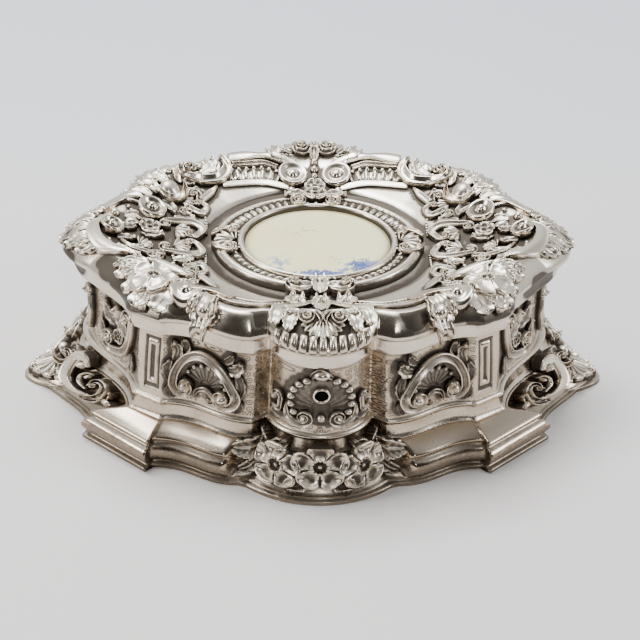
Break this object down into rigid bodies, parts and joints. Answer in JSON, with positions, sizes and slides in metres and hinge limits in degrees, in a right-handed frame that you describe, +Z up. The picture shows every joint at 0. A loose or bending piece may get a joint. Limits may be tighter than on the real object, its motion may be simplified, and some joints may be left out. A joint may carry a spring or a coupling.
{
  "type": "jewellery casket",
  "caption": "Oxidised silver casket of bowed rococo plan on a flared moulded foot, with a lift-off lid, an oval worn painted plaque, a keyhole and cast flower and shell mounts.",
  "frame": {"origin": "on the underside of the plinth, below the casket's centre", "axes": "+Z up, X along the long side, -Y towards the front with the keyhole"},
  "size_m": [0.249, 0.1826, 0.08],
  "materials": {
    "silver_plinth": "polished silver mouldings with dark tarnish in the hollows and fine scratches",
    "silver_body": "chased silver, warm on the upright walls, stippled and engraved grounds dark with old polish",
    "silver_lid": "repousse silver, bright on the scrolls and petals, grey-brown oxide in the recesses",
    "silver_frame": "cast and chased silver with dark grooves between ribs and beads",
    "painted_plaque": "ivory ground, semi-gloss, painting almost worn away, blue remains along the lower edge, fine brown cracks",
    "silver_castings": "cast silver flowers, leaves and shells, bright edges over dark hollows",
    "keyhole_metal": "turned ring with a dark bore"
  },
  "bodies": {
    "root": {"plinth": "silver_plinth", "casket_body": "silver_body", "lid": "silver_lid", "medallion_frame": "silver_frame", "medallion_plaque": "painted_plaque", "garland_front": "silver_castings", "garland_back": "silver_castings", "end_mount_left": "silver_castings", "end_mount_right": "silver_castings", "keyhole_barrel": "keyhole_metal"}
  },
  "joints": []
}
